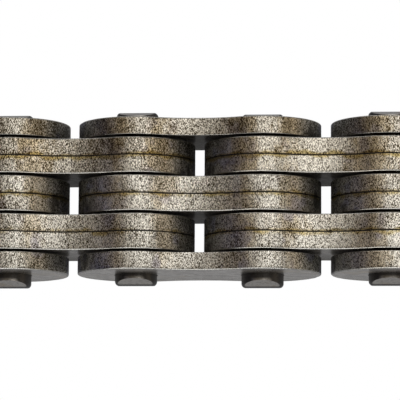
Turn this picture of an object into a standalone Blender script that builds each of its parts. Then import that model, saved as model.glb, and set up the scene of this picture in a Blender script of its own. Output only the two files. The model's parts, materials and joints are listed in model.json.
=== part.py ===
"""Leaf chain, 4 x 4 lacing, cut to eight pitches: figure-eight plates stacked on riveted pins.

X runs along the chain, Y along the pins and Z up. The chain lies on the edges of its plates.
"""

import math

import bmesh
import bpy
from mathutils import Vector

# Driving dimensions, in metres
PITCH = 0.0381  # centre to centre of neighbouring pins
PITCHES = 8  # links in this length
PLATE_H = 0.0353  # height of a plate over its round ends
PLATE_T = 0.0053  # thickness of a plate
WAIST_DIP = 0.0035  # how far each edge dips between the pins
PAIR_GAP = 0.00008  # between two plates of the same link that lie face to face
LINK_GAP = 0.00075  # between an outer link's plate and an inner link's plate
PIN_R = 0.00635  # radius of a pin
PIN_OUT = 0.0035  # how far a pin stands out of the outermost plates
PIN_SHIFT = 0.00033  # how far each pin sits off the middle, by turns to the near and the far side
SHOULDER_R = 0.00125  # radius of the round shoulder about a pin's end
SHOULDER_STEPS = 3  # facets from the pin's side to its end along that shoulder
RIDGE_HALF = 0.00115  # half height of the flat ridge across a riveted end
ROOF_SLOPE = math.radians(18.5)  # slope of the two flats beside that ridge
FIXED_PLAY = 0.00005  # between a pin and the outer plates riveted on it
RUNNING_PLAY = 0.00008  # between a pin and the inner plates that turn on it
SIDES = 24  # facets round a pin and a hole
END_STEP = 10  # degrees between outline points on a plate's round end
END_REACH = 15  # degrees past the crown to which those points run before the waist begins
WAIST_SEGMENTS = 4  # outline segments in each waist
SHARP = math.radians(32)  # edges that turn more than this are shaded sharp

ROWS = "OIIOOIIO"  # across the chain: O is an outer link's plate, I an inner link's plate

STEEL = (0.36, 0.33, 0.29)
PIN_STEEL = (0.30, 0.29, 0.28)


def row_centres():
    """The Y of each row's middle, from the far side to the near side."""
    gaps = [PAIR_GAP if a == b else LINK_GAP for a, b in zip(ROWS, ROWS[1:])]
    width = PLATE_T * len(ROWS) + sum(gaps)
    y = width / 2 - PLATE_T / 2
    centres = [y]
    for gap in gaps:
        y -= PLATE_T + gap
        centres.append(y)
    return centres, width


def pin_x(index):
    """The X of pin centre number 0 to PITCHES; the last one is the open end hole."""
    return (index - PITCHES / 2) * PITCH


def plate_outline():
    """Figure-eight outline about the middle of the plate: round ends, tangent hollow waists."""
    end_r = PLATE_H / 2
    flat = math.radians(END_STEP / 2)
    corner_r = end_r / math.cos(flat)  # the facets at crown and tip touch the round end
    waist = end_r - WAIST_DIP
    half = PITCH / 2
    hollow_r = (half**2 + waist**2 - end_r**2) / (2 * (end_r - waist))
    turn = math.atan2(half, waist + hollow_r)
    reach = 90 + END_REACH
    points = []
    for side in (1, -1):
        for degrees in range(-reach, reach + 1, END_STEP):
            angle = math.radians(degrees)
            x = half + corner_r * math.cos(angle)
            points.append((side * x, side * corner_r * math.sin(angle)))
        for step in range(WAIST_SEGMENTS + 1):
            x = side * hollow_r * math.sin(turn * (1 - 2 * step / WAIST_SEGMENTS))
            z = waist + hollow_r - math.sqrt(hollow_r**2 - x**2)
            points.append((x, side * z))
    return points


def circle(radius, centre):
    """A hole's facets, set so that a flat lies at the bottom."""
    turn = 2 * math.pi / SIDES
    return [
        (centre + radius * math.cos(turn * (i + 0.5)), radius * math.sin(turn * (i + 0.5)))
        for i in range(SIDES)
    ]


def material(name, colour, roughness):
    mat = bpy.data.materials.new(name)
    mat.use_nodes = True
    shader = mat.node_tree.nodes["Principled BSDF"]
    shader.inputs["Base Color"].default_value = (*colour, 1)
    shader.inputs["Roughness"].default_value = roughness
    shader.inputs["Metallic"].default_value = 1
    return mat


def add_object(name, mesh, location, parent=None):
    obj = bpy.data.objects.new(name, mesh)
    bpy.context.collection.objects.link(obj)
    obj.parent = parent
    obj.location = location
    return obj


def finish_mesh(bm, name, mat):
    bmesh.ops.recalc_face_normals(bm, faces=bm.faces)
    bm.normal_update()
    for edge in bm.edges:
        edge.smooth = edge.is_manifold and edge.calc_face_angle(0) < SHARP
    for face in bm.faces:
        face.smooth = True
    mesh = bpy.data.meshes.new(name)
    bm.to_mesh(mesh)
    bm.free()
    mesh.materials.append(mat)
    return mesh


def plate_mesh(name, hole_r, mat):
    """A flat plate in the XZ plane with a hole for each of its two pins."""
    bm = bmesh.new()
    loops = [plate_outline(), circle(hole_r, -PITCH / 2), circle(hole_r, PITCH / 2)]
    for loop in loops:
        verts = [bm.verts.new((x, -PLATE_T / 2, z)) for x, z in loop]
        for a, b in zip(verts, verts[1:] + verts[:1]):
            bm.edges.new((a, b))
    bmesh.ops.triangle_fill(bm, edges=bm.edges, use_beauty=True, normal=(0, -1, 0))
    faces = list(bm.faces)
    back = bmesh.ops.extrude_face_region(bm, geom=faces)["geom"]
    moved = [v for v in back if isinstance(v, bmesh.types.BMVert)]
    bmesh.ops.translate(bm, verts=moved, vec=(0, PLATE_T, 0))
    return finish_mesh(bm, name, mat)


def pin_mesh(name, length, mat):
    """A round pin with round shoulders, its ends riveted to a ridge between two sloping flats."""
    bm = bmesh.new()
    near_end = []
    for step in range(SHOULDER_STEPS + 1):
        angle = math.pi / 2 * step / SHOULDER_STEPS
        inset = SHOULDER_R * (1 - math.cos(angle))
        near_end.append((-length / 2 + inset, PIN_R - SHOULDER_R * (1 - math.sin(angle))))
    rings = near_end + [(-y, r) for y, r in reversed(near_end)]
    loops = [[bm.verts.new((x, y, z)) for x, z in circle(r, 0)] for y, r in rings]
    for near, far in zip(loops, loops[1:]):
        for i in range(SIDES):
            j = (i + 1) % SIDES
            bm.faces.new((near[i], near[j], far[j], far[i]))
    bm.faces.new(loops[0])
    bm.faces.new(loops[-1])
    for end in (1, -1):
        for up in (1, -1):
            cut = bmesh.ops.bisect_plane(
                bm,
                geom=bm.verts[:] + bm.edges[:] + bm.faces[:],
                plane_co=(0, end * length / 2, up * RIDGE_HALF),
                plane_no=(0, end * math.cos(ROOF_SLOPE), up * math.sin(ROOF_SLOPE)),
                clear_outer=True,
            )
            edges = [g for g in cut["geom_cut"] if isinstance(g, bmesh.types.BMEdge)]
            bmesh.ops.contextual_create(bm, geom=edges)
    bmesh.ops.triangulate(bm, faces=bm.faces)
    return finish_mesh(bm, name, mat)


def link_name(index):
    kind = "outer" if index % 2 == 0 else "inner"
    return f"{kind}_link_{index // 2 + 1}"


def world_of(obj):
    at = Vector(obj.location)
    while obj.parent:
        obj = obj.parent
        at += Vector(obj.location)
    return at


def build():
    for obj in list(bpy.data.objects):
        bpy.data.objects.remove(obj)
    centres, width = row_centres()
    level = PLATE_H / 2
    outer_steel = material("outer_plate_steel", STEEL, 0.42)
    inner_steel = material("inner_plate_steel", STEEL, 0.42)
    pin_steel = material("pin_steel", PIN_STEEL, 0.34)
    grow = 1 / math.cos(math.pi / SIDES)
    outer = plate_mesh("outer_plate", PIN_R + FIXED_PLAY, outer_steel)
    inner = plate_mesh("inner_plate", (PIN_R + RUNNING_PLAY) * grow, inner_steel)
    pin = pin_mesh("pin", width + 2 * PIN_OUT, pin_steel)

    # One empty per link: the middle outer link stands still, the others hang from it in turn
    # on the pin that they share with the link before, so each empty sits on its joint's axis
    still = PITCHES // 2
    empties = {still: add_object(link_name(still), None, Vector((pin_x(still), 0, level)))}
    for index in list(range(still + 1, PITCHES)) + list(range(still - 1, -1, -1)):
        right = index > still
        before = empties[index - 1 if right else index + 1]
        at = Vector((pin_x(index if right else index + 1), 0, level))
        empties[index] = add_object(link_name(index), None, at - world_of(before), before)
    for index, empty in empties.items():
        is_outer = index % 2 == 0
        origin = world_of(empty)
        middle = Vector(((pin_x(index) + pin_x(index + 1)) / 2, 0, level))
        for row, kind in enumerate(ROWS):
            if (kind == "O") == is_outer:
                at = middle + Vector((0, centres[row], 0)) - origin
                mesh = outer if is_outer else inner
                add_object(f"{link_name(index)}_plate_{row + 1}", mesh, at, empty)
        if is_outer:
            for number in (index, index + 1):
                shift = PIN_SHIFT if number % 2 == 0 else -PIN_SHIFT
                at = Vector((pin_x(number), shift, level)) - origin
                add_object(f"pin_{number + 1}", pin, at, empty)


build()
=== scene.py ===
"""The looks of a length of heavy leaf chain: punched, oiled plates on riveted pins, in a studio.

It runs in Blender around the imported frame. Sizes are in metres, colours are linear.
"""

import json
import math
import random

import bmesh
import bpy
from mathutils import Matrix, Vector, noise


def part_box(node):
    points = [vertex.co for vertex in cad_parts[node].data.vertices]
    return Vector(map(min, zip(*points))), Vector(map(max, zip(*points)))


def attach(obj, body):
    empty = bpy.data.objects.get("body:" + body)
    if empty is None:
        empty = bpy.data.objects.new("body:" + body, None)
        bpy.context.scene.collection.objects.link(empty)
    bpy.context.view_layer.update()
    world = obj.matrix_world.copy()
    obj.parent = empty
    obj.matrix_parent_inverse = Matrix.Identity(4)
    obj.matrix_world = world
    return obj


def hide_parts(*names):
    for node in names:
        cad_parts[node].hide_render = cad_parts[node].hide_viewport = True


bl_info = {
    "name": "Leaf chain length",
    "version": (1, 0, 0),
    "blender": (4, 5, 0),
    "location": "View3D > Sidebar > Leaf chain",
    "description": "Finishes the plates and pins of a leaf chain and sets it on a studio floor",
    "category": "Object",
}

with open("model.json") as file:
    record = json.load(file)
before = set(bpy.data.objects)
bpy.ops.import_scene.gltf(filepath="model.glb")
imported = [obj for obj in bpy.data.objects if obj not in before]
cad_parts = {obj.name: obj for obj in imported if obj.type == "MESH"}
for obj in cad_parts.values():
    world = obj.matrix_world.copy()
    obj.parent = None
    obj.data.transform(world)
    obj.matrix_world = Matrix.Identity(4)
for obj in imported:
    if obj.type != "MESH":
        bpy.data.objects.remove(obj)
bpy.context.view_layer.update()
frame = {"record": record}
BODIES = frame["record"]["behaviour"]["bodies"]

MM = 0.001

# Rows run across the chain from the far side, and are counted from 1
ROLLED_NEAR = (3, 5, 7, 8)  # rows whose rolled-over edge is towards the viewer
ROW_OIL = (0.85, 0.95, 0.80, 0.45, 0.62, 0.48, 0.30, 0.40)  # how much brown oil each row shows
OIL_SPREAD = 0.12  # how much that differs from plate to plate
# How much brighter than most each row and some links are, and how much plates differ
ROW_SHINE = (-0.09, -0.09, 0.0, 0.02, 0.06, -0.02, 0.05, 0.06)
LINK_SHINE = {"outer_link_2": -0.13, "inner_link_2": -0.09, "inner_link_3": 0.09}
SHINE_SPREAD = 0.03

# How many degrees the edge leans to the right where its wear begins and where it is full, and the
# same for its polish, which is also a painted highlight
SKIN_TO_WORN = (54, 26)  # and as many to the left
# The polished parts are partly real rubbing and partly a painted highlight: bright clean steel laid
# where the key light falls, reaching further on the right-hand slope
WAIST_POLISH_AND_HIGHLIGHT = ((-22, -8), (22, 6))  # from the left, and from the right
CROWN_POLISH_AND_HIGHLIGHT = (-13, 3)  # from the left
LEAN_SPREAD = 5  # how far the polished part is shifted from plate to plate

# Waves of the punched edge: how many to a millimetre, and what part of the ripple they have
WAVES = ((0.55, 1.0), (1.7, 0.6))
NICK_DEPTHS = (0.3, 1)  # as parts of the deepest
NICK_WIDTHS = (1.0, 2.2)  # in outline points
NICK_REACH = 0.5 * MM  # how far a nick runs across the edge
FLAT_STRIP = 0.5 * MM  # strip that keeps the flat sides' shading even beside the rounded edges
# The rim of a hole: how many mm outside its radius, and where in the plate's thickness
HOLE_RIM = ((0.5, -0.5), (0.18, -0.5), (0.0, -0.42), (0.0, 0.42), (0.18, 0.5), (0.5, 0.5))
HOLE_SIDES = 56
SHARP = math.radians(40)  # edges that turn more than this are shaded sharp
EDGE_SLOT, FACE_SLOT = 0, 1  # a plate's material slots

# A pin: facets round it, rings on its end and on its shoulder, and how far in its side begins
PIN_SIDES = 96
END_RINGS = 20
SHOULDER_RINGS = 12
PIN_SIDE_START = 2.6 * MM
# Shallower than that, as on the ridge, the end keeps the dark pin colour: a painted dark line of
# shade along the ridge
PRESSED_DEPTH = (0.16 * MM, 0.34 * MM)  # how deep a flat is where its bare steel begins and is full

# How far from a seam its dark line and its oil begin and where they are full
SEAM_REACH = (0.30 * MM, 0.12 * MM)
OIL_REACH = (1.3 * MM, 0.2 * MM)
OIL_SHIFT = 3 * MM  # how far the oil wanders across a seam

WHITE = (1.0, 1.0, 1.0)
# Soft boxes: the way to each, its distance, its width and height, its watts and its colour
SOFT_BOXES = {
    "overhead": ((0.23, 0.33, 1), 0.72, (0.76, 0.44), 1.20, WHITE),
    "overhead_warm": ((0.0, 0.25, 1), 0.80, (1.50, 0.90), 0.87, (1.0, 0.84, 0.64)),
    "right": ((1.0, 0.1, 0.245), 0.82, (0.90, 0.385), 1.155, (1.0, 0.88, 0.72)),
    "left": ((-1.0, 0.1, 0.60), 0.80, (0.30, 0.52), 0.085, (0.60, 0.62, 1.0)),
    "front": ((0, -1, 0.8), 0.80, (0.9, 0.55), 1.5, WHITE),
    "front_low": ((0, -1, 0.2), 0.90, (1.4, 0.30), 1.8, WHITE),
    "back_low": ((0, 1, 0.2), 0.90, (1.4, 0.30), 1.15, WHITE),
}

FLOOR_HALF = 1.5  # half of its side
FLOOR_DROP = 0.2 * MM  # keeps the floor clear of the plates that lie on it
# What part of its light the floor sends up, and how far from the chain's middle that changes: dim
# under the chain as a painted shadow, brightest just beside it, and fading far off, a painted pool
# of light round the chain
SHADOW_UNDER_CHAIN = 0.22
CHAIN_TO_BESIDE = (15 * MM, 26 * MM)
FAR_OFF = 0.45
BESIDE_TO_FAR = (40 * MM, 110 * MM)
# What part of the floor's full light comes from the room below, for links that fold down past it,
# and how high on the globe of directions that begins and is full
FROM_BELOW = 0.6
HORIZON = (0.0, -0.1)


def middle_of(node):
    """The middle of a node's box."""
    low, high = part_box(node)
    return (low + high) / 2


PITCH = middle_of("pin_2").x - middle_of("pin_1").x
# How far from the chain's middle the two plates of an inner pair meet
PAIR_SEAM = (middle_of("inner_link_1_plate_2").y + middle_of("inner_link_1_plate_3").y) / 2
# Under the middle of the third outer link: the soft boxes face it and the camera's place is from it
LINK_MIDDLE = Vector((middle_of("outer_link_3_plate_4").x, 0, 0))


def length(name, description, default):
    return bpy.props.FloatProperty(
        name=name, description=description, default=default, unit="LENGTH", precision=5
    )


def angle(name, description, default):
    return bpy.props.FloatProperty(
        name=name, description=description, default=default, subtype="ANGLE"
    )


def colour(name, description, default):
    return bpy.props.FloatVectorProperty(
        name=name, description=description, default=default, min=0, max=1, subtype="COLOR"
    )


class PlateSizes(bpy.types.PropertyGroup):
    """Sizes of the figure-eight plates."""

    waist_dip: length("Waist dip", "How far each edge dips between the pins", 3.5 * MM)
    hole_radius: length("Hole radius", "Radius of a pin hole", 6.40 * MM)
    rolled_edge: length("Rolled edge", "Radius of the edge that the punch rolled over", 0.42 * MM)
    broken_edge: length("Broken edge", "Radius of the other, tumbled edge", 0.16 * MM)
    clearance: length("Clearance", "How far the plate stays inside its solid", 0.01 * MM)
    ripple: length("Ripple", "Depth of the punched edge's unevenness", 0.035 * MM)
    nick: length("Nick", "Depth of the deepest nicks along the edges", 0.16 * MM)
    nicks: bpy.props.IntProperty(
        name="Nicks", description="Nicks along the edges of one plate", default=16, min=0
    )


class PinSizes(bpy.types.PropertyGroup):
    """Sizes of the riveted pins."""

    radius: length("Radius", "Radius of a pin", 6.34 * MM)
    shoulder: length("Shoulder", "Radius of the round shoulder about a pin's end", 1.25 * MM)
    ridge: length("Ridge", "Half height of the flat ridge across a riveted end", 1.15 * MM)
    slope: angle("Slope", "Slope of the flats beside the ridge", math.radians(18.5))
    rounding: length("Rounding", "How softly the riveted flats meet", 0.12 * MM)


class SteelColours(bpy.types.PropertyGroup):
    """Colours of bare, stained and oiled steel."""

    # Bright is also the colour of the painted glints among the specks and of the painted highlight
    # on the rounded edges
    bright: colour("Bright", "Bare steel of the punched edges", (1.0, 0.98, 0.91))
    dull: colour("Dull", "Dull steel between the bright specks", (0.09, 0.078, 0.055))
    violet: colour("Violet", "Faint temper colour on the slopes", (0.70, 0.73, 0.98))
    brown: colour("Brown", "Old oil in thin brown patches", (0.72, 0.59, 0.39))
    golden: colour("Golden", "Fresh oil drawn into the seams", (0.66, 0.54, 0.22))
    grime: colour("Grime", "Dark residue in hollows", (0.03, 0.025, 0.02))
    face: colour("Face", "The plates' rolled sides", (0.58, 0.535, 0.47))
    # Pin is partly real oily steel and partly painted shade: kept dark so that the pins' tops show
    # no highlight
    pin: colour("Pin", "Oily ground steel of the pins' sides", (0.095, 0.090, 0.085))
    pressed: colour("Pressed", "Bare steel of the pins' pressed flats", (0.53, 0.50, 0.455))


class StudioSettings(bpy.types.PropertyGroup):
    """Camera and light."""

    camera: bpy.props.FloatVectorProperty(
        name="Camera",
        description="Place of the camera, from the middle of the third outer link",
        default=(0.0540, -0.1133, 0.8023),
        subtype="TRANSLATION",
        unit="LENGTH",
    )
    tilt: angle("Tilt", "Lean towards the far side", 0.1435)
    pan: angle("Pan", "Turn towards the left", 0.0679)
    roll: angle("Roll", "Turn of the picture", 0.0064)
    lens: bpy.props.FloatProperty(
        name="Lens", description="Focal length on a 36 mm sensor", default=237.0, unit="CAMERA"
    )
    floor: colour("Floor", "What the floor sends up to the steel", (0.34, 0.345, 0.36))
    room: colour("Room", "Dim light from all round", (0.022, 0.022, 0.024))


class Wire:
    """An output socket that can be used in sums: each operator adds a Math node."""

    def __init__(self, tree, socket):
        self.tree = tree
        self.socket = socket

    def math(self, operation, *values, clamp=False):
        return self.tree.node(
            "ShaderNodeMath", {"operation": operation, "use_clamp": clamp}, (self, *values)
        )

    def __add__(self, other):
        return self.math("ADD", other)

    __radd__ = __add__

    def __mul__(self, other):
        return self.math("MULTIPLY", other)

    __rmul__ = __mul__

    def __sub__(self, other):
        return self.math("SUBTRACT", other)

    def __rsub__(self, other):
        return self.tree.node("ShaderNodeMath", {"operation": "SUBTRACT"}, (other, self))

    def __abs__(self):
        return self.math("ABSOLUTE")

    def clamped(self):
        return self.math("ADD", 0, clamp=True)

    def smaller(self, other):
        return self.math("MINIMUM", other)

    def swing(self, amount):
        """Noise from 0 to 1 turned into a swing about 0, of that amount in all."""
        return (self - 0.5) * amount

    def step(self, low, high):
        """0 below low and 1 above high, with a smooth rise; high below low turns it round."""
        return self.tree.node(
            "ShaderNodeMapRange",
            {"interpolation_type": "SMOOTHSTEP"},
            {"Value": self, "From Min": low, "From Max": high},
        )


class Tree:
    """The nodes of one material or of the world."""

    def __init__(self, owner):
        owner.use_nodes = True
        self.nodes = owner.node_tree.nodes
        self.links = owner.node_tree.links
        self.nodes.clear()

    def node(self, kind, settings=None, inputs=(), output=0):
        """A node of that kind: its settings first, then the values or wires of its sockets."""
        made = self.nodes.new(kind)
        for key, value in (settings or {}).items():
            setattr(made, key, value)
        pairs = inputs.items() if isinstance(inputs, dict) else enumerate(inputs)
        for key, value in pairs:
            socket = made.inputs[key]
            if isinstance(value, Wire):
                self.links.new(value.socket, socket)
            elif socket.type == "RGBA" and len(value) == 3:
                socket.default_value = (*value, 1)
            else:
                socket.default_value = value
        return Wire(self, made.outputs[output]) if made.outputs else None

    def place(self, kind="Object"):
        """The place on the object, or the direction in the room."""
        return self.node("ShaderNodeTexCoord", output=kind)

    def along(self, axis, place):
        """How far a place or a direction goes along that axis."""
        return self.node("ShaderNodeSeparateXYZ", None, (place,), output=axis)

    def value(self, name):
        """A value that the mesh holds for each of its points."""
        return self.node("ShaderNodeAttribute", {"attribute_name": name}, output="Fac")

    def mix(self, factor, first, second, blend="MIX"):
        """A colour that goes from first to second as factor goes from 0 to 1."""
        return self.node(
            "ShaderNodeMix",
            {"data_type": "RGBA", "blend_type": blend},
            {"Factor": factor, 6: first, 7: second},
            output=2,
        )

    def film(self, factor, base, tint):
        """The base seen through a clear coloured film that is gone where factor is 0."""
        return self.mix(factor, base, tint, blend="MULTIPLY")

    def clouds(self, place, sizes_mm, detail=2.0, rough=0.5, warp=0.0, offset=0.0):
        """Noise from 0 to 1 whose blotches have about those sizes along X, Y and Z."""
        scale = tuple(1 / (size * MM) for size in sizes_mm)
        scaled = self.node("ShaderNodeVectorMath", {"operation": "MULTIPLY"}, (place, scale))
        moved = self.node("ShaderNodeVectorMath", {"operation": "ADD"}, (scaled, (offset,) * 3))
        return self.node(
            "ShaderNodeTexNoise",
            {"noise_dimensions": "3D"},
            {
                "Vector": moved,
                "Scale": 1.0,
                "Detail": detail,
                "Roughness": rough,
                "Distortion": warp,
            },
        )

    def steel(self, base, roughness, height, bump_mm):
        """Joins a finish's colour, roughness and height to one metal shader."""
        bump = {"Strength": 1.0, "Distance": bump_mm * MM, "Height": height}
        inputs = {
            "Base Color": base,
            "Roughness": roughness,
            "Metallic": 1.0,
            "Normal": self.node("ShaderNodeBump", None, bump),
        }
        shader = self.node("ShaderNodeBsdfPrincipled", None, inputs)
        self.node("ShaderNodeOutputMaterial", None, {"Surface": shader})


def material_of(paint):
    """The material that a finish's function paints: made once, then shared."""
    made = bpy.data.materials.get(paint.__name__)
    if not made:
        made = bpy.data.materials.new(paint.__name__)
        paint(Tree(made), bpy.context.scene.chain_steel)
    return made


def from_seam(across):
    """How far a place across the chain is from the nearest seam between two like plates."""
    out = abs(across)
    return out.smaller(abs(out - PAIR_SEAM))


def punched_edge(tree, tint):
    """Edges of the plates: bright specks that are partly painted glints, polished parts that are
    partly a painted highlight, a painted highlight on the rounded edges, brown oil in patches,
    golden oil at the seams.
    """
    place = tree.place()
    across = tree.along("Y", place)
    oil, edge, worn = tree.value("oil"), tree.value("edge"), tree.value("worn")

    grain = tree.clouds(place, (0.165, 0.50, 0.165), detail=1, warp=0.3)
    pits = tree.clouds(place, (0.20, 0.26, 0.20), detail=1, offset=7.0)
    drawn = tree.clouds(place, (0.35, 4, 0.35), detail=3, rough=0.65, offset=3.0)
    blotch = tree.clouds(place, (0.8, 2.2, 0.8), detail=3, rough=0.6, offset=17.0)
    patch = tree.clouds(place, (2.4, 8, 2.4), detail=3, rough=0.6, offset=11.0)
    broad = tree.clouds(place, (9, 11, 9), offset=5.0)

    # Sheaves keep the tops of the crowns and the waist clean, and old oil stays on the slopes. The
    # clean steel is also a painted highlight where the key light falls, reaching further on the
    # right-hand slope
    rubbing_and_lit = tree.value("polish_and_highlight") + patch.swing(2.2) + blotch.swing(1.0) + broad.swing(0.8)
    clean_and_lit = rubbing_and_lit.step(0.0, 1.0)
    # Fine bright specks in dull steel, partly real grain and partly painted glints, crisper in the
    # clean parts, where the highlight is painted
    crisp = grain.swing(4.2 + clean_and_lit * 2.6)
    uneven = blotch.swing(0.35) + drawn.swing(0.65) + patch.swing(0.75) + broad.swing(0.90)
    specks_and_glints = (crisp + uneven + tree.value("tone")).step(-0.19, 0.21)
    # The brown film of old oil shows least on the bright specks
    stained = (1.0 - clean_and_lit) * (0.30 + oil * 0.70) * worn + clean_and_lit * oil * 0.35
    dull = tree.film((stained * 1.6).clamped(), tint.dull, tint.brown)
    bright = tree.film(stained * 0.9, tint.bright, tint.brown)
    base = tree.mix(specks_and_glints, dull, bright)
    temper = tree.clouds(place, (6, 8, 6), offset=41.0).step(0.54, 0.66)
    base = tree.film(temper * (1.0 - clean_and_lit) * 0.75, base, tint.violet)

    # Oil creeps out of the seams between the plates of a pair, mostly over the far plate
    side = tree.clouds(place, (5, 30, 5), detail=1, offset=23.0)
    pool = tree.clouds(place, (7, 16, 7), detail=3, offset=31.0)
    band = from_seam(across + (side - 0.45) * OIL_SHIFT).step(*OIL_REACH)
    drawn_in = band * (pool + blotch.swing(0.6) + oil * 0.4).step(0.45, 0.78) * 0.85
    base = tree.film(drawn_in, base, tint.golden)
    # Painted highlight: the rounded edges are mixed towards bright steel, as if they caught the
    # light
    base = tree.mix(edge * 0.6, base, tint.bright)
    base = tree.mix(pits.step(0.36, 0.28) * 0.6, base, tint.grime)
    base = tree.mix(from_seam(across).step(*SEAM_REACH), base, tint.grime)
    # The rounded ends keep their dull skin, and black residue on some of them
    skin = 1.0 - worn
    residue = skin * (broad + patch.swing(0.5)).step(0.54, 0.66)
    base = tree.mix(residue * 0.45 + skin * 0.35, base, tint.grime)

    roughness = 0.22 + grain * 0.14 + skin * 0.25 - edge * 0.03
    tree.steel(base, roughness, grain * 0.9 + drawn * 0.5 + blotch, bump_mm=0.05)


def rolled_face(tree, tint):
    """Flat sides of the plates: even grey with faint rolling marks and stains."""
    place = tree.place()
    marks = tree.clouds(place, (9, 9, 0.35), detail=3, rough=0.6)
    mottle = tree.clouds(place, (2.2, 2.2, 2.2), detail=4, rough=0.65, offset=4.0)
    stain = tree.clouds(place, (10, 10, 10), detail=4, rough=0.6, offset=9.0)
    fine = tree.clouds(place, (0.6, 0.6, 0.4), offset=13.0)
    shade = mottle.step(0.3, 0.75) * 0.42 + fine.step(0.40, 0.70) * 0.28
    base = tree.mix(shade, tint.face, tint.grime)
    base = tree.mix(stain.step(0.52, 0.75) * 0.3, base, tint.brown)
    roughness = 0.20 + mottle * 0.16 + stain.step(0.5, 0.8) * 0.1
    tree.steel(base, roughness, marks * 0.5 + mottle, bump_mm=0.02)


def ground_pin(tree, tint):
    """Ground pins with pressed, mottled ends."""
    place = tree.place()
    pressed = tree.value("edge")
    turned = tree.clouds(place, (4, 0.25, 4), detail=3)
    mottle = tree.clouds(place, (0.7, 0.7, 0.7), detail=4, rough=0.65, offset=6.0)
    stain = tree.clouds(place, (4, 4, 4), detail=3, offset=2.0)
    # The sides and ridges take the dark pin colour, partly painted shade; the pressed flats are
    # bare steel
    base = tree.mix(pressed, tint.pin, tint.pressed)
    base = tree.mix(mottle.step(0.45, 0.75) * 0.5, base, tint.grime)
    base = tree.film(stain.step(0.5, 0.75) * 0.5, base, tint.brown)
    roughness = 0.42 + mottle * 0.08 - pressed * 0.14
    tree.steel(base, roughness, turned * 0.15 + mottle * pressed, bump_mm=0.03)


def outline(height, dip, ends=120, waist=44):
    """The figure-eight outline about a plate's middle: points, ways outward, if in the waist."""
    half, end_r = PITCH / 2, height / 2
    narrow = end_r - dip
    hollow_r = (half**2 + narrow**2 - end_r**2) / (2 * (end_r - narrow))
    turn = math.atan2(half, narrow + hollow_r)
    reach = math.pi / 2 + turn
    end_centre, hollow_centre = Vector((half, 0)), Vector((0, narrow + hollow_r))
    made = []
    for side in (1, -1):
        for step in range(ends):
            lean = -reach + 2 * reach * step / ends
            out = Vector((math.cos(lean), math.sin(lean)))
            made.append((side * (end_centre + end_r * out), side * out, False))
        for step in range(waist):
            lean = turn - 2 * turn * step / waist
            out = Vector((math.sin(lean), -math.cos(lean)))
            made.append((side * (hollow_centre + hollow_r * out), side * out * -1, True))
    return made


def profile(thickness, near_edge, far_edge, steps=5, flats=8):
    """Across the plate's thickness from the near side: how far in, how far along, how rounded; the
    last sets the painted highlight on the rounded edges.
    """
    quarter = [math.pi / 2 * step / steps for step in range(steps + 1)]

    def rounded(radius, side, leans):
        return [
            (
                radius * (1 - math.sin(lean)),
                side * (thickness / 2 - radius * (1 - math.cos(lean))),
                math.sin(2 * lean),
            )
            for lean in leans
        ]

    start, end = -thickness / 2 + near_edge, thickness / 2 - far_edge
    flat = [(0, start + (end - start) * step / flats, 0) for step in range(1, flats)]
    return rounded(near_edge, -1, quarter) + flat + rounded(far_edge, 1, quarter[::-1])


def circle(sides, radius):
    """Places on a circle about the Y axis, along X and Z."""
    leans = [2 * math.pi * k / sides for k in range(sides)]
    return [(radius * math.cos(lean), radius * math.sin(lean)) for lean in leans]


def add_ring(bm, points):
    """A closed ring of new mesh points, not joined yet."""
    return [bm.verts.new(point) for point in points]


def bridge(bm, first, second, slot=0):
    """Joins two rings with faces of that material slot."""
    for a, b, c, d in zip(first, first[1:] + first[:1], second[1:] + second[:1], second):
        bm.faces.new((a, b, c, d)).material_index = slot


def fill(bm, rings, slot, normal):
    """Closes the flat area inside the first ring and round the others."""
    edges = [
        bm.edges.get((a, b)) for ring in rings for a, b in zip(ring, ring[1:] + ring[:1])
    ]
    made = bmesh.ops.triangle_fill(bm, edges=edges, use_beauty=True, normal=normal)
    for item in made["geom"]:
        if isinstance(item, bmesh.types.BMFace):
            item.material_index = slot


def link(obj):
    bpy.context.scene.collection.objects.link(obj)
    return obj


def to_object(bm, name, materials, values):
    """The finished mesh as an object, with a value for each of its points under each name."""
    bmesh.ops.recalc_face_normals(bm, faces=bm.faces)
    for face in bm.faces:
        face.smooth = True
    for edge in bm.edges:
        edge.smooth = edge.calc_face_angle(0) < SHARP
    mesh = bpy.data.meshes.new(name)
    bm.to_mesh(mesh)
    bm.free()
    for key, numbers in values.items():
        mesh.attributes.new(key, "FLOAT", "POINT").data.foreach_set("value", numbers)
    for made in materials:
        mesh.materials.append(made)
    return link(bpy.data.objects.new(name, mesh))


def smooth(low, high, value):
    """0 at low and 1 at high, with a smooth rise between."""
    part = min(1.0, max(0.0, (value - low) / (high - low)))
    return part * part * (3 - 2 * part)


def rubbed_and_lit(shape, oil, shift):
    """How worn and how polished each outline point is, by how far the edge leans there; the polish
    is also a painted highlight.
    """
    worn, polish_and_highlight = [], []
    for _, out, hollow in shape:
        lean = math.degrees(math.atan2(out.x, abs(out.y)))
        worn.append(smooth(*SKIN_TO_WORN, abs(lean)))
        # The more oil a plate has, the sooner its polish and painted highlight end on the
        # right-hand slope
        crown = (CROWN_POLISH_AND_HIGHLIGHT, (36 - 14 * oil, 24 - 18 * oil))
        rise, fall = WAIST_POLISH_AND_HIGHLIGHT if hollow else crown
        polish_and_highlight.append(smooth(*rise, lean + shift) * smooth(*fall, lean + shift))
    return worn, polish_and_highlight


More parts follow.
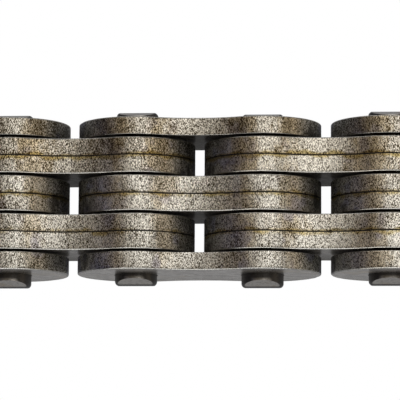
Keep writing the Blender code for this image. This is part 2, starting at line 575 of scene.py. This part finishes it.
def make_plate(node, row, body):
    """One finished plate in place of its solid."""
    sizes = bpy.context.scene.chain_plates
    low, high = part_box(node)
    middle = (low + high) / 2
    thickness = high.y - low.y - 2 * sizes.clearance
    shape = outline(high.z - low.z - 2 * sizes.clearance, sizes.waist_dip)
    count = len(shape)
    rng = random.Random(node)
    nicks = [
        (
            rng.randrange(count),
            rng.choice((-1, 1)),
            rng.uniform(*NICK_DEPTHS),
            rng.uniform(*NICK_WIDTHS),
        )
        for _ in range(sizes.nicks)
    ]
    shift = rng.uniform(-LEAN_SPREAD, LEAN_SPREAD)
    oil = min(1, max(0, ROW_OIL[row - 1] + rng.uniform(-OIL_SPREAD, OIL_SPREAD)))
    tone = ROW_SHINE[row - 1] + LINK_SHINE.get(body, 0) + rng.uniform(-SHINE_SPREAD, SHINE_SPREAD)
    worn, polish_and_highlight = rubbed_and_lit(shape, oil, shift)
    bm = bmesh.new()
    values = {"edge": [], "worn": [], "polish_and_highlight": []}

    def sunk(i, spot, along):
        """How far the edge is sunk at an outline point by waves and nicks."""
        where = Vector((spot.x + middle.x, along + middle.y, spot.y)) / MM
        depth = 0
        for rate, part in WAVES:
            depth += sizes.ripple * part * (0.5 + 0.5 * noise.noise(where * rate))
        for at, side, deep, wide in nicks:
            apart = min(abs(i - at), count - abs(i - at))
            reach = abs(along - side * thickness / 2) / NICK_REACH
            depth += sizes.nick * deep * math.exp(-((apart / wide) ** 2) - reach**2)
        return depth

    def edge_ring(inset, along, rounded, uneven=True):
        points = []
        for i, (spot, out, _) in enumerate(shape):
            flat = spot - out * (inset + (sunk(i, spot, along) if uneven else 0))
            points.append(middle + Vector((flat.x, along, flat.y)))
        # The edge value marks the rounded edges, where a highlight is painted
        values["edge"] += [rounded] * count
        values["worn"] += worn
        values["polish_and_highlight"] += polish_and_highlight
        return add_ring(bm, points)

    edges = (sizes.rolled_edge, sizes.broken_edge)
    steps = profile(thickness, *(edges if row in ROLLED_NEAR else edges[::-1]))
    (near_inset, near, _), (far_inset, far, _) = steps[0], steps[-1]
    rings = [edge_ring(near_inset + FLAT_STRIP, near, 0, uneven=False)]
    rings += [edge_ring(*step) for step in steps]
    rings.append(edge_ring(far_inset + FLAT_STRIP, far, 0, uneven=False))
    slots = [FACE_SLOT] + [EDGE_SLOT] * (len(rings) - 3) + [FACE_SLOT]
    for one, two, slot in zip(rings, rings[1:], slots):
        bridge(bm, one, two, slot)

    near_rings, far_rings = [rings[0]], [rings[-1]]
    for side in (-1, 1):
        hole = []
        for wider, part in HOLE_RIM:
            round_hole = circle(HOLE_SIDES, sizes.hole_radius + wider * MM)
            hole.append(add_ring(bm, [
                middle + Vector((side * PITCH / 2 + x, part * thickness, z)) for x, z in round_hole
            ]))
            for numbers in values.values():
                numbers += [0] * HOLE_SIDES
        for one, two in zip(hole, hole[1:]):
            bridge(bm, one, two, FACE_SLOT)
        near_rings.append(hole[0])
        far_rings.append(hole[-1])
    fill(bm, near_rings, FACE_SLOT, (0, -1, 0))
    fill(bm, far_rings, FACE_SLOT, (0, 1, 0))

    total = len(values["edge"])
    values.update(oil=[oil] * total, tone=[tone] * total)
    finishes = (material_of(punched_edge), material_of(rolled_face))
    piece = to_object(bm, f"{node}_finished", finishes, values)
    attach(piece, body)
    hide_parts(node)


def soft_min(a, b, width):
    """The smaller of a and b, with their meeting rounded over that width."""
    gap = max(width - abs(a - b), 0) / width
    return min(a, b) - gap * gap * width / 4


def make_pin(node, body):
    """One finished pin: its ends are pressed to a ridge between two sloping flats."""
    sizes = bpy.context.scene.chain_pins
    low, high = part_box(node)
    middle = (low + high) / 2
    half = (high.y - low.y) / 2
    # Rings of the end, from its middle outwards: how far from the axis, how far in from the end
    flat_r = sizes.radius - sizes.shoulder
    end_rings = [(flat_r * step / END_RINGS, 0) for step in range(1, END_RINGS + 1)]
    for step in range(1, SHOULDER_RINGS + 1):
        lean = math.pi / 2 * step / SHOULDER_RINGS
        away = flat_r + sizes.shoulder * math.sin(lean)
        end_rings.append((away, sizes.shoulder * (1 - math.cos(lean))))

    def flat_drop(z):
        return max(0.0, abs(z) - sizes.ridge) * math.tan(sizes.slope)

    def end_height(z, inset):
        pressed = soft_min(half - flat_drop(z), half - inset, sizes.rounding)
        return soft_min(pressed, half, sizes.rounding)

    bm = bmesh.new()
    rings, values = [], []
    for side in (-1, 1):
        for away, inset in end_rings if side < 0 else reversed(end_rings):
            round_pin = circle(PIN_SIDES, away)
            rings.append(add_ring(bm, [
                middle + Vector((x, side * end_height(z, inset), z)) for x, z in round_pin
            ]))
            values += [smooth(*PRESSED_DEPTH, flat_drop(z) - inset) for _, z in round_pin]
        if side < 0:
            for along in (PIN_SIDE_START - half, half - PIN_SIDE_START):
                round_pin = circle(PIN_SIDES, sizes.radius)
                rings.append(add_ring(bm, [middle + Vector((x, along, z)) for x, z in round_pin]))
                values += [0] * PIN_SIDES
    for one, two in zip(rings, rings[1:]):
        bridge(bm, one, two)
    for side, ring in ((-1, rings[0]), (1, rings[-1])):
        tip = bm.verts.new(middle + Vector((0, side * end_height(0, 0), 0)))
        values.append(1)
        for one, two in zip(ring, ring[1:] + ring[:1]):
            bm.faces.new((one, two, tip))
    piece = to_object(bm, f"{node}_finished", (material_of(ground_pin),), {"edge": values})
    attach(piece, body)
    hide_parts(node)


def make_plates(kind):
    """Every plate of that kind of link."""
    for body, nodes in BODIES.items():
        for node in nodes:
            if node.startswith(kind) and "_plate_" in node:
                make_plate(node, int(node.rsplit("_", 1)[1]), body)


class CHAIN_OT_outer_plates(bpy.types.Operator):
    """Finish the plates that are riveted to the pins"""

    bl_idname = "chain.outer_plates"
    bl_label = "Outer plates"

    def execute(self, context):
        make_plates("outer")
        return {"FINISHED"}


class CHAIN_OT_inner_plates(bpy.types.Operator):
    """Finish the plates that turn on the pins"""

    bl_idname = "chain.inner_plates"
    bl_label = "Inner plates"

    def execute(self, context):
        make_plates("inner")
        return {"FINISHED"}


class CHAIN_OT_pins(bpy.types.Operator):
    """Finish the riveted pins"""

    bl_idname = "chain.pins"
    bl_label = "Pins"

    def execute(self, context):
        for body, nodes in BODIES.items():
            for node in nodes:
                if node.startswith("pin"):
                    make_pin(node, body)
        return {"FINISHED"}


def add_soft_box(name, way, distance, size, power, tint):
    """A soft box that lights the chain from that way."""
    data = bpy.data.lights.new(name, "AREA")
    data.shape = "RECTANGLE"
    data.size, data.size_y = size
    data.energy = power
    data.color = tint
    lamp = link(bpy.data.objects.new(name, data))
    way = Vector(way).normalized()
    lamp.location = LINK_MIDDLE + way * distance
    lamp.rotation_euler = way.to_track_quat("Z", "Y").to_euler()


def light_room(studio):
    """A dim room, white to the camera, and pale below for links that fold past the floor."""
    world = bpy.data.worlds.new("room")
    bpy.context.scene.world = world
    tree = Tree(world)
    below = tree.along("Z", tree.place("Generated")).step(*HORIZON) * FROM_BELOW
    seen = tree.node("ShaderNodeLightPath", output="Is Camera Ray")
    light = tree.mix(seen, tree.mix(below, studio.room, studio.floor), WHITE)
    back = tree.node("ShaderNodeBackground", None, {"Color": light, "Strength": 1.0})
    tree.node("ShaderNodeOutputWorld", None, {"Surface": back})


def lay_floor(studio):
    """A pale floor, hidden from the camera, that lights the steel from below, with a painted shadow
    under the chain and a painted pool of light beside it.
    """
    bm = bmesh.new()
    bmesh.ops.create_grid(bm, x_segments=8, y_segments=8, size=FLOOR_HALF)
    mesh = bpy.data.meshes.new("floor")
    bm.to_mesh(mesh)
    bm.free()
    floor = link(bpy.data.objects.new("floor", mesh))
    floor.location.z = -FLOOR_DROP
    glowing_floor = bpy.data.materials.new("floor_glow_painted_shadow")
    tree = Tree(glowing_floor)
    out = abs(tree.along("Y", tree.place()))
    # Painted shadow under the chain, and a painted pool of light beside it that fades far off
    near = SHADOW_UNDER_CHAIN + out.step(*CHAIN_TO_BESIDE) * (1 - SHADOW_UNDER_CHAIN)
    shade = near * (1.0 - out.step(*BESIDE_TO_FAR) * (1 - FAR_OFF))
    sent_up = tree.mix(shade, (0, 0, 0), studio.floor)
    glow = tree.node("ShaderNodeEmission", None, {"Color": sent_up, "Strength": 1.0})
    tree.node("ShaderNodeOutputMaterial", None, {"Surface": glow})
    mesh.materials.append(glowing_floor)
    floor.visible_camera = False
    floor.visible_shadow = False


def set_camera(studio):
    """A long lens that looks down on the third outer link, from a little to the near side."""
    data = bpy.data.cameras.new("camera")
    data.lens = studio.lens
    data.sensor_width = 36
    data.clip_start, data.clip_end = 0.01, 10
    camera = link(bpy.data.objects.new("camera", data))
    level = math.cos(studio.pan)
    towards = Vector((
        -math.sin(studio.pan),
        math.sin(studio.tilt) * level,
        -math.cos(studio.tilt) * level,
    )).normalized()
    right = towards.cross(Vector((0, 1, 0))).normalized()
    up = right.cross(towards)
    even, turned = math.cos(studio.roll), math.sin(studio.roll)
    axes = Matrix((even * right + turned * up, even * up - turned * right, -towards))
    place = Matrix.Translation(LINK_MIDDLE + Vector(studio.camera))
    camera.matrix_world = place @ axes.transposed().to_4x4()
    bpy.context.scene.camera = camera


class CHAIN_OT_studio(bpy.types.Operator):
    """Set the floor, the soft light and the camera"""

    bl_idname = "chain.studio"
    bl_label = "Studio"

    def execute(self, context):
        studio = context.scene.chain_studio
        context.scene.view_settings.view_transform = "Standard"
        light_room(studio)
        lay_floor(studio)
        for name, soft_box in SOFT_BOXES.items():
            add_soft_box(name, *soft_box)
        set_camera(studio)
        return {"FINISHED"}


class CHAIN_PT_panel(bpy.types.Panel):
    """Leaf chain"""

    bl_idname = "CHAIN_PT_panel"
    bl_label = "Leaf chain"
    bl_space_type = "VIEW_3D"
    bl_region_type = "UI"
    bl_category = "Leaf chain"

    def draw(self, context):
        for group in GROUPS:
            box = self.layout.box()
            settings = getattr(context.scene, group)
            for key in settings.__annotations__:
                box.prop(settings, key)
        for operator in STEPS:
            self.layout.operator(operator.bl_idname)


GROUPS = {
    "chain_plates": PlateSizes,
    "chain_pins": PinSizes,
    "chain_steel": SteelColours,
    "chain_studio": StudioSettings,
}
STEPS = (CHAIN_OT_outer_plates, CHAIN_OT_inner_plates, CHAIN_OT_pins, CHAIN_OT_studio)


def register():
    for name, group in GROUPS.items():
        bpy.utils.register_class(group)
        setattr(bpy.types.Scene, name, bpy.props.PointerProperty(type=group))
    for operator in STEPS:
        bpy.utils.register_class(operator)
    bpy.utils.register_class(CHAIN_PT_panel)


def unregister():
    bpy.utils.unregister_class(CHAIN_PT_panel)
    for operator in reversed(STEPS):
        bpy.utils.unregister_class(operator)
    for name, group in GROUPS.items():
        delattr(bpy.types.Scene, name)
        bpy.utils.unregister_class(group)


def main():
    register()
    bpy.ops.chain.outer_plates()
    bpy.ops.chain.inner_plates()
    bpy.ops.chain.pins()
    bpy.ops.chain.studio()


if __name__ == "__main__":
    main()
